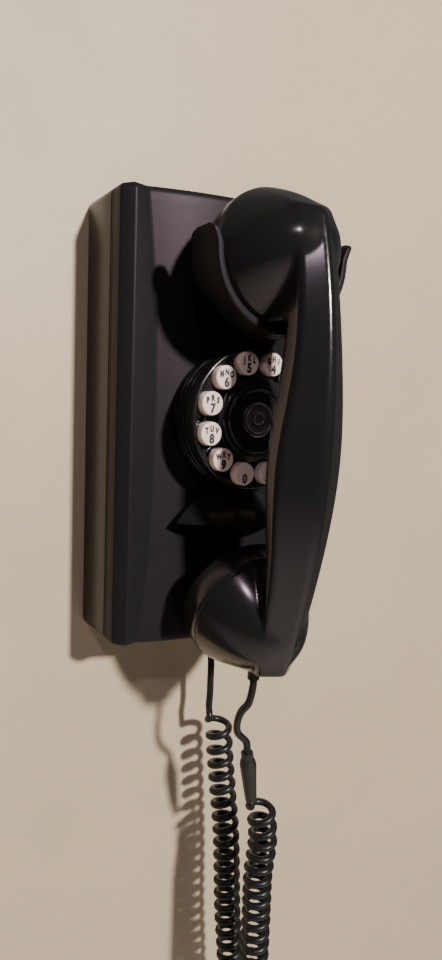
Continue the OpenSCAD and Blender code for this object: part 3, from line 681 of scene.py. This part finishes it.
badge = turned("hub_disc", fillet([
    (8.9, 71.9), (8.9, 73.4, 0.4), (7.7, 73.5, 0.1), (7.6, 73.2, 0.1), (6.9, 73.2, 0.1), (6.8, 73.5, 0.1),
    (3.2, 73.5, 0.1), (3.1, 73.25, 0.1), (2.6, 73.25, 0.1), (2.5, 73.5, 0.1), (0, 73.5),
], 2), on_dial)
brushed = Finish("turned_metal", base_color=(0.33, 0.32, 0.33), metallic=1.0, roughness=0.34)
brushed.feed(roughness=brushed.noise(500, 3.0) * 0.15 + 0.26,
             normal=brushed.bump(brushed.noise(1800, 2.0), 0.06, 0.00005))
dial_black = Finish("dial_black_abs", base_color=(0.0105, 0.0100, 0.0112), roughness=0.24)
dust = dial_black.noise(2400, 2.0, 0.5).steps(0.70, 0.78)
dial_black.feed(
    base_color=dial_black.mix(dust * 0.5, (0.0105, 0.0100, 0.0112), (0.055, 0.052, 0.05)),
    roughness=dial_black.noise(30, 4.0, 0.6) * 0.10 + 0.17 + dust * 0.2,
    normal=dial_black.bump(dial_black.noise(1000, 2.0), 0.08, 0.00006),
)
for obj, node_name in ((collar, "dial_ring"), (drum, "dial_face"), (plate, "dial_face"), (hub, "dial_hub")):
    put_on(obj, dial_black)
    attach(obj, "case")
    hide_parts(node_name)
put_on(badge, brushed)
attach(badge, "case")
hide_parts("hub_badge")


# ---------------------------------------------------------------- the keys
# Twelve round push buttons, moulded in ivory ABS, whose plungers press a rubber
# dome. Digits and the usual letter groups are printed on their flat tops in black.
ivory = Finish("ivory_abs", base_color=(0.80, 0.62, 0.58), roughness=0.34)
ivory_age = ivory.noise(160, 3.0)
ivory.feed(
    base_color=ivory.mix(ivory_age.steps(0.35, 0.75) * 0.5, (0.84, 0.655, 0.62), (0.74, 0.56, 0.51)),
    roughness=ivory_age * 0.2 + 0.22,
    normal=ivory.bump(ivory.noise(1200, 2.0), 0.08, 0.00005),
)
key_print = Finish("key_print", base_color=(0.02, 0.018, 0.02), roughness=0.5)
key_print.feed(roughness=key_print.noise(900) * 0.2 + 0.4)


def letters(text, size, place, turn, narrow):
    """Flat lettering in the plane of a key's top: its size in mm and its width's share."""
    data = bpy.data.curves.new("letters", "FONT")
    data.body, data.size, data.align_x, data.align_y = text, size * mm, "CENTER", "CENTER"
    data.resolution_u, data.offset = 4, (0.20 + 0.018 * size) * mm
    made = bake(add("letters", data), "letters")
    made.data.transform(
        Matrix.Translation((place[0] * mm, place[1] * mm, 0)) @ Matrix.Rotation(turn, 4, "Z")
        @ Matrix.Diagonal((narrow, 1, 1, 1)))
    return made


def join(name, parts):
    """One mesh object from several, which it takes the place of."""
    mesh_edit = bmesh.new()
    for part in parts:
        mesh_edit.from_mesh(part.data)
        bpy.data.objects.remove(part, do_unlink=True)
    mesh = bpy.data.meshes.new(name)
    mesh_edit.to_mesh(mesh)
    mesh_edit.free()
    return add(name, mesh)


# A key's radius, and the heights of its top and of the print on it
key_r, key_top, ink_at = 5.7, 74.0, 74.03
groups = {"2": "ABC", "3": "DEF", "4": "GHI", "5": "JKL", "6": "MNO", "7": "PRS", "8": "TUV", "9": "WXY"}
for (x, y), key_name in zip(key_places, key_names):
    on_key = on_dial @ Matrix.Translation((x * mm, y * mm, 0))
    key = turned("key_cap_" + key_name, fillet([
        (0, 66.0), (key_r, 66.0), (key_r, 73.95, 0.8), (0, key_top),
    ], 6), on_key, 48)
    put_on(key, ivory)
    signs = {"hash": ("#", 5.5, 0), "star": ("*", 8, -1.9)}
    sign, size, drop = signs.get(key_name, (key_name, 6.0, -2.5))
    parts = [letters(sign, size, (0, drop), turn=0, narrow=0.85)]
    # The letters stand in an arc over the digit, 36 degrees apart
    for place, letter in enumerate(groups.get(key_name, "")):
        swing = math.radians(36 * (1 - place))
        parts.append(letters(letter, 3.9, (-4.7 * math.sin(swing), 5.0 * math.cos(swing) - 2.7),
                             turn=swing * 0.15, narrow=0.72))
    ink = join("key_ink_" + key_name, parts)
    ink.data.transform(on_key @ Matrix.Translation((0, 0, ink_at * mm)))
    put_on(ink, key_print)
    for piece in (key, ink):
        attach(piece, "key_" + key_name)
        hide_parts("key_" + key_name)


# -------------------------------------------------------------- the cradle
# A moulded fork round the lower half of the ear cap, on a lever that goes through the
# cover's slot to a steel hinge pin. Black ABS, 3.2 mm thick, its tips flared outwards.

# The middle of the ear cup's seam, the way its bell points, and that way's lean from level
ear_d, ear_z, ear_lean = 82.9, 79.2, 0.1339
ear_at, ear_out = Vector((0, -ear_d, ear_z)), Vector((0, -0.99115, 0.13276))
# The fork's inner radius and thickness, how far its tips rise, and its depths from the wall
fork_in, fork_t, tip_lift = 33.2, 3.2, 9.4
front_d, tip_back, web_back = 89.5, 66.0, 73.0
lever_w, hinge_d, hinge_z = 8, 22, 44.7  # half the lever's width; the pin's depth and height


def fork_route(flare, reach):
    """Points from the left tip round below to the right tip, in the front view."""
    path = [(-reach - flare * (1 - k / 12) ** 1.3, tip_lift * (1 - k / 12)) for k in range(12)]
    for degrees in range(0, 181, 4):
        angle = math.radians(degrees)
        path.append((-reach * math.cos(angle), -reach * math.sin(angle)))
    return path + [(reach + flare * (k / 12) ** 1.3, tip_lift * k / 12) for k in range(1, 13)]


def cut_back(run, radius):
    """How far a rounded end lies behind its square corner, at a distance from the tip."""
    return radius * (1 - math.sqrt(max(0, 1 - ((radius - run) / radius) ** 2))) if run < radius else 0


inner_line, outer_line = fork_route(3.6, fork_in), fork_route(3.4, fork_in + fork_t)
fork_points, fork_faces = [], []
for (xi, zi), (xo, zo) in zip(inner_line, outer_line):
    from_tip = tip_lift - zi
    back = tip_back + (web_back - tip_back) * min(1, max(0, (-zi - 12) / 10))
    back += cut_back(from_tip, 9)
    front = front_d - cut_back(from_tip, 3)
    thin = 0.35 if from_tip < 0.9 else 0.0
    wide = math.hypot(xo - xi, zo - zi)
    low, high = thin, wide - thin
    outline = fillet([(wide / 2, back), (low, back, 0.9), (low, front, 0.9), (high, front, 0.9),
                      (high, back, 0.9), (wide / 2 + 0.01, back)], 4)
    row = []
    for u, d in outline:
        # The inner side leans with the ear cup that lies in it
        lean = ear_lean * (d - ear_d) * (1 - u / wide) * min(1, max(0, (6 - zi) / 6))
        row.append((
            (xi + (xo - xi) * u / wide) * mm, -d * mm,
            (ear_z + zi + (zo - zi) * u / wide + lean) * mm,
        ))
    section = len(row)
    fork_points += row
for j in range(len(inner_line) - 1):
    for i in range(section):
        a, n = j * section, (i + 1) % section
        fork_faces.append((a + i, a + n, a + section + n, a + section + i))
fork_faces.append(tuple(range(section)))
fork_faces.append(tuple(range((len(inner_line) - 1) * section, len(inner_line) * section)))
fork = new_mesh("cradle_fork", fork_points, fork_faces)
face_outwards(fork)
shade(fork, 50)
lever = block("lever", (-lever_w, -84.5, 42.4), (lever_w, -hinge_d, 47.0))
soft_edges = lever.modifiers.new("soft", "BEVEL")
soft_edges.width, soft_edges.segments = 0.6 * mm, 3
lever = bake(lever, "cradle_lever")
shade(lever, 40)
# The bored barrel round the hinge pin, along x
on_hinge = Matrix(((0, 0, 1, 0), (1, 0, 0, -hinge_d * mm), (0, 1, 0, hinge_z * mm), (0, 0, 0, 1)))
hinge = turned("cradle_hinge", fillet([
    (2.06, -lever_w), (4.2, -lever_w, 0.4), (4.2, lever_w, 0.4), (2.06, lever_w), (2.06, -lever_w),
], 3), on_hinge, 48)
for obj in (fork, lever, hinge):
    put_on(obj, moulded)
    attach(obj, "cradle")
    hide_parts("cradle")


# ------------------------------------------------------------- the handset
# One ABS moulding: a handle with a ridge that follows an arc, steep side walls and a flat
# back, run into two bell-shaped cups. A screwed cap closes each cup at a fine seam.
mouth_at, mouth_out = Vector((0, -75.0, -93.4)), Vector((0, -0.91355, -0.40674))
cup_r, cup_h = 32.3, 33.0  # a cup's radius at its seam and its height


def round_max(a, b, k):
    """The larger of two values, with a rounding k wide where they meet."""
    h = np.maximum(k - np.abs(a - b), 0) / k
    return np.maximum(a, b) + h * h * k / 4


def round_min(a, b, k):
    return -round_max(-a, -b, k)


def above(y, z, origin, normal):
    """How far a point lies over the plane through origin across normal, which has no x."""
    return (y - origin.y) * normal.y + (z - origin.z) * normal.z


def cup_field(x, y, z, origin, normal):
    """A bell round the normal: about the distance from its surface, negative inside."""
    t = above(y, z, origin, normal)
    r2 = x * x + (y - origin.y) ** 2 + (z - origin.z) ** 2 - t * t
    g = r2 / cup_r ** 2 + t / cup_h - 1
    return g / np.sqrt(4 * np.maximum(r2, 0) / cup_r ** 4 + 1 / cup_h ** 2)


# The ridge's apex, its flanks' slope, and the grip: where it swells and over what length
ridge_d, ridge_z, roof = 126.0, 9.0, math.radians(35)
grip_z, grip_run = -18, 46
# The heights at which the flat back gives way to the two roots
root_high, root_low = 48, -63


def handle_field(x, y, z):
    """A house-shaped section: a rounded ridge, two sloping flanks, side walls, a flat back."""
    swell = np.exp(-(((z - grip_z) / grip_run) ** 2))
    nose = 3.2 + 2.6 * swell
    nose_k = 4 * nose * (1 - math.cos(roof))
    # The ridge's arc is a little flatter below its apex than above it
    ridge_r = np.where(z > ridge_z, 320.0, 342.0)
    u = np.hypot(y - ridge_r + ridge_d, z - ridge_z) - ridge_r - nose_k / (4 * math.cos(roof))
    rise, slant = math.cos(roof) * u, math.sin(roof) * x
    flank = round_max(rise + slant, rise - slant, nose_k)
    wide = np.where(z > grip_z, 10.4 + 6.9 * swell, 12.2 + 5.1 * swell)
    lean = 0.33 * np.clip(y + 104, 0, 20) * np.clip((-55 - z) / 12, 0, 1)
    body = round_max(flank, np.abs(x) - wide + lean, 2.0)
    # Between its roots the handle has a flat back; at each root it runs on to the seam
    back = y + 105.1 + 0.0295 * z
    back = round_min(round_min(back, root_high - z, 5.0), z - root_low, 5.0)
    body = round_max(body, back, 1.7)
    # A plane across each end
    top_cut = -0.3296 * (y + 78.6) + 0.9441 * (z - 107.5)
    foot_cut = -0.1745 * (y + 60) - 0.9846 * (z + 124.5)
    return round_max(round_max(body, top_cut, 3.5), foot_cut, 1.0)


def handset_field(p):
    """Handle and cups in one, cut off at the seams where the caps sit; negative inside."""
    x, y, z = p
    both = round_min(cup_field(x, y, z, ear_at, ear_out), cup_field(x, y, z, mouth_at, mouth_out), 0.5)
    solid = round_min(handle_field(x, y, z), both, 2.0)
    no_cut, seam_gap = -100.0, 0.05
    ear_cut = np.where(z > 20, -above(y, z, ear_at, ear_out) + seam_gap, no_cut)
    mouth_cut = np.where(z < -50, -above(y, z, mouth_at, mouth_out) + seam_gap, no_cut)
    return round_max(solid, np.maximum(ear_cut, mouth_cut), 0.7)


def slope_of(field, p, h=0.05):
    """The field's direction of rise at some points, and how steep it is there."""
    grad = np.stack([field(p + h * axis) - field(p - h * axis) for axis in np.eye(3)[:, :, None]])
    return grad / np.maximum(np.linalg.norm(grad, axis=0), 1e-9), np.linalg.norm(grad, axis=0) / (2 * h)


def skin(field, low, high, step):
    """A quad mesh on the zero surface of a field, negative inside: one point in each
    cell that the surface crosses, drawn onto the surface."""
    axes = [np.arange(a, b + step, step) for a, b in zip(low, high)]
    grid = np.stack(np.meshgrid(*axes, indexing="ij"))
    value = field(grid)
    inside = value < 0
    shape = [n - 1 for n in value.shape]
    total, count = np.zeros((3, *shape)), np.zeros(shape)
    for axis in range(3):
        others = [a for a in range(3) if a != axis]
        a = np.take(value, range(value.shape[axis] - 1), axis)
        b = np.take(value, range(1, value.shape[axis]), axis)
        crossed = (a < 0) != (b < 0)
        part = np.where(crossed, a / np.where(crossed, a - b, 1), 0)
        for s in (0, 1):
            for t in (0, 1):
                pick = [slice(None)] * 3
                pick[others[0]] = slice(s, s + shape[others[0]])
                pick[others[1]] = slice(t, t + shape[others[1]])
                c, f = crossed[tuple(pick)], part[tuple(pick)]
                count += c
                total[axis] += np.where(c, f, 0)
                total[others[0]] += c * s
                total[others[1]] += c * t
    active = count > 0
    number = np.full(shape, -1)
    number[active] = np.arange(active.sum())
    cells = np.stack(np.nonzero(active)).astype(float)
    points = cells + total[:, active] / count[active]
    points = points * step + np.array(low, float)[:, None]
    for _ in range(4):
        normal, steep = slope_of(field, points)
        move = field(points) / np.maximum(steep, 0.2)
        points = points - normal * np.clip(move, -0.4 * step, 0.4 * step)
    faces = []
    for axis in range(3):
        others = [a for a in range(3) if a != axis]
        a = np.take(inside, range(value.shape[axis] - 1), axis)
        b = np.take(inside, range(1, value.shape[axis]), axis)
        where = np.stack(np.nonzero(a != b))
        ok = np.all([(where[o] > 0) & (where[o] < value.shape[o] - 1) for o in others], axis=0)
        where = where[:, ok]
        start_in = a[tuple(where)]
        corner = []
        for s, t in ((1, 1), (0, 1), (0, 0), (1, 0)):
            cell = where.copy()
            cell[others[0]] -= s
            cell[others[1]] -= t
            corner.append(number[tuple(cell)])
        quad = np.stack(corner, axis=1)
        flip = start_in if axis != 1 else ~start_in
        quad[~flip] = quad[~flip][:, ::-1]
        faces.append(quad)
    return points.T, np.concatenate(faces)


points, faces = skin(handset_field, low=(-35, -130.5, -127), high=(35, -55, 115), step=0.8)
handset = new_mesh("handset_shell", points * mm, [tuple(map(int, f)) for f in faces])
face_outwards(handset)
shade(handset, 45)
grip_black = Finish("handled_black_abs", base_color=(0.0105, 0.0100, 0.0110), roughness=0.26,
                    specular_ior_level=0.62, specular_tint=(1.0, 0.9, 0.96))
grip_speck = grip_black.noise(2400, 2.0, 0.5).steps(0.71, 0.78)
grip_black.feed(
    base_color=grip_black.mix(grip_speck * 0.5, (0.0105, 0.0100, 0.0110), (0.05, 0.047, 0.045)),
    roughness=(grip_black.noise(18, 4.0, 0.6) * 0.08 + grip_black.noise(400, 3.0) * 0.03 + 0.115
               + grip_speck * 0.2),
    normal=grip_black.bump(grip_black.noise(1100, 2.0), 0.08, 0.00006,
                           grip_black.bump(grip_black.noise(45, 1.5), 0.10, 0.0006)),
)
put_on(handset, grip_black)
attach(handset, "handset")
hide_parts("handset_body")


# ---------------------------------------------------------------- the caps
# The ear and mouth caps are ABS lids that screw onto the cups. Each has a dished
# face with a ring of sound holes in front of its capsule.
cap_r, dish_parts = 32.7, 8


def perforations(name, **sizes):
    """The drills for a ring of sound holes and one in its middle, by Geometry Nodes."""
    tree = bpy.data.node_groups.new("perforations", "GeometryNodeTree")
    named = {}
    for label, kind in (("holes", "Int"), ("ring", "Float"), ("bore", "Float"), ("deep", "Float")):
        entry = tree.interface.new_socket(label, in_out="INPUT", socket_type="NodeSocket" + kind)
        named[label] = entry.identifier
    tree.interface.new_socket("Geometry", in_out="OUTPUT", socket_type="NodeSocketGeometry")
    given, circle, drill, copies, both, real, dressed, result = (tree.nodes.new(kind) for kind in (
        "NodeGroupInput", "GeometryNodeMeshCircle", "GeometryNodeMeshCylinder",
        "GeometryNodeInstanceOnPoints", "GeometryNodeJoinGeometry", "GeometryNodeRealizeInstances",
        "GeometryNodeSetMaterial", "NodeGroupOutput"))
    drill.inputs["Vertices"].default_value = 20
    dressed.inputs["Material"].default_value = grip_black.material
    for a, b in (
        (given.outputs["holes"], circle.inputs["Vertices"]), (given.outputs["ring"], circle.inputs["Radius"]),
        (given.outputs["bore"], drill.inputs["Radius"]), (given.outputs["deep"], drill.inputs["Depth"]),
        (circle.outputs[0], copies.inputs["Points"]), (drill.outputs["Mesh"], copies.inputs["Instance"]),
        (copies.outputs[0], both.inputs[0]), (drill.outputs["Mesh"], both.inputs[0]),
        (both.outputs[0], real.inputs[0]), (real.outputs[0], dressed.inputs["Geometry"]),
        (dressed.outputs[0], result.inputs[0]),
    ):
        tree.links.new(a, b)
    obj = new_mesh(name, [], [])
    modifier = obj.modifiers.new("perforations", "NODES")
    modifier.node_group = tree
    for label, value in sizes.items():
        modifier[named[label]] = value
    return bake(obj, name)


def cap(name, node_name, origin, normal, height, edge, face_r):
    """A lid on a cup's rim: its height, its edge's rounding and its dished face's radius in mm."""
    on_seat, dish = place_on(origin * mm, normal), 1.6
    line = [(0, -height + dish)]
    for k in range(1, dish_parts):
        line.append((face_r * k / dish_parts, -height + dish * (1 - (k / dish_parts) ** 2)))
    rim = fillet([line[-1], (face_r, -height, 0.8), (cap_r - 0.2, -height, edge), (cap_r, -2.2, 0.3),
                  (32.35, -0.12, 0.25), (30.5, -0.1)], 6)
    line += [tuple(p) for p in rim[1:]]
    line += [(0, -0.1)]
    lid = turned("lid", line, on_seat)
    drills = perforations("drills", holes=6, ring=8 * mm, bore=1.6 * mm, deep=8 * mm)
    drills.data.transform(on_seat @ Matrix.Translation((0, 0, (-height + 1) * mm)))
    lid = cut_from(lid, name, drills)
    shade(lid, 40)
    put_on(lid, grip_black)
    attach(lid, "handset")
    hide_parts(node_name)


cap("ear_lid", "ear_cap", ear_at, ear_out, height=12.5, edge=3.6, face_r=24)
cap("mouth_lid", "mouth_cap", mouth_at, mouth_out, height=15.0, edge=1.9, face_r=25)


# ---------------------------------------------------------- the back plate
# A matt black ABS moulding that closes the case, with the two keyholes it hangs on.
matt_black = Finish("matt_black_abs", base_color=(0.02, 0.02, 0.021), roughness=0.62)
texture = matt_black.noise(1300, 2.0)
shades = matt_black.noise(30, 3.0)
matt_black.feed(base_color=matt_black.mix(shades, (0.016, 0.016, 0.017), (0.028, 0.027, 0.027)),
                roughness=texture * 0.14 + 0.55, normal=matt_black.bump(texture, 0.25, 0.0001))
put_on(nodes["back_plate"], matt_black)


# ------------------------------------------------------------- metal parts
# Zinc-plated screws and capsule cans, the steel hinge pin and its music-wire spring.
zinc = Finish("zinc_plate", base_color=(0.55, 0.56, 0.55), metallic=1.0, roughness=0.4)
spangle = zinc.noise(240, 3.0)
zinc.feed(base_color=zinc.mix(spangle.steps(0.35, 0.7), (0.46, 0.47, 0.45), (0.62, 0.62, 0.60)),
          roughness=spangle * 0.2 + 0.3, normal=zinc.bump(zinc.noise(900, 2.0), 0.08, 0.00005))
steel = Finish("ground_steel", base_color=(0.42, 0.42, 0.43), metallic=1.0, roughness=0.3)
steel.feed(roughness=steel.noise(700, 3.0) * 0.2 + 0.2,
           normal=steel.bump(steel.noise(1500, 2.0), 0.06, 0.00004))
for name, finish in (("cover_screws", zinc), ("ringer", zinc), ("microphone", zinc), ("receiver", zinc),
                     ("cradle_pin", steel), ("cradle_spring", steel)):
    put_on(nodes[name], finish)


# ------------------------------------------------------ boards and switches
# Glass-epoxy circuit boards under green solder mask, and the phenolic switch and jack.
mask = Finish("solder_mask", base_color=(0.02, 0.10, 0.045), roughness=0.35)
weave = mask.noise(600, 2.0)
mask.feed(base_color=mask.mix(weave.steps(0.4, 0.65), (0.015, 0.085, 0.04), (0.03, 0.13, 0.06)),
          roughness=weave * 0.2 + 0.25)
phenolic = Finish("phenolic", base_color=(0.06, 0.055, 0.05), roughness=0.5)
grain = phenolic.noise(500, 3.0)
phenolic.feed(base_color=phenolic.mix(grain, (0.045, 0.04, 0.037), (0.085, 0.075, 0.065)),
              roughness=grain * 0.2 + 0.4, normal=phenolic.bump(grain, 0.1, 0.00006))
for name, finish in (("keypad_board", mask), ("main_board", mask), ("hook_switch", phenolic),
                     ("line_jack", phenolic)):
    put_on(nodes[name], finish)


# -------------------------------------------------------------- rubber parts
# The keypad's silicone sheet is grey; the strain reliefs and the inline connector's
# boot are soft black vinyl.
silicone = Finish("grey_silicone", base_color=(0.22, 0.22, 0.22), roughness=0.6)
silicone.feed(base_color=silicone.mix(silicone.noise(90, 3.0), (0.18, 0.18, 0.18), (0.26, 0.26, 0.25)),
              roughness=silicone.noise(800) * 0.2 + 0.5)
vinyl = Finish("black_vinyl", base_color=(0.012, 0.012, 0.013), roughness=0.42)
dull = vinyl.noise(120, 3.0)
vinyl.feed(base_color=vinyl.mix(dull, (0.009, 0.009, 0.01), (0.02, 0.019, 0.018)),
           roughness=dull * 0.2 + 0.32, normal=vinyl.bump(vinyl.noise(1400, 2.0), 0.1, 0.00005))
for name, finish in (("keypad_membrane", silicone), ("body_grommet", vinyl), ("handset_grommet", vinyl),
                     ("cord_joiner", vinyl)):
    put_on(nodes[name], finish)
